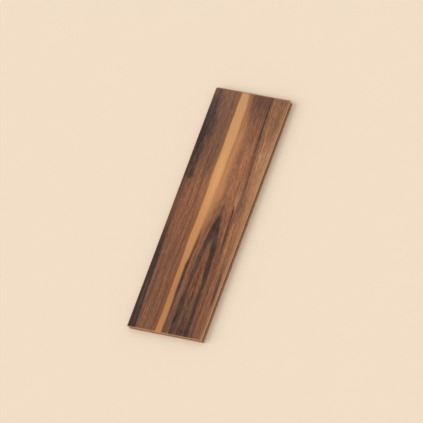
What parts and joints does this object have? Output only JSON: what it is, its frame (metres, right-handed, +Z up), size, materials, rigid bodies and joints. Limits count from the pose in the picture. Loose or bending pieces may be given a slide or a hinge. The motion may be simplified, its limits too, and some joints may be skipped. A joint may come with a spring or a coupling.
{
  "type": "laminate floor plank",
  "caption": "Short laminate floor plank with a walnut-look decor face, bevelled decor edges, and a snap-lock tongue and groove round its sides and ends.",
  "frame": {"origin": "centre of the underside, midway between the closing faces of the sides and of the ends", "axes": "+X across the width towards the grooved side, +Y along the length towards the tongued end, +Z up through the decor face"},
  "size_m": [0.1375, 0.4225, 0.012],
  "materials": {
    "laminate": "satin"
  },
  "bodies": {
    "root": {"plank": "laminate"}
  },
  "joints": []
}
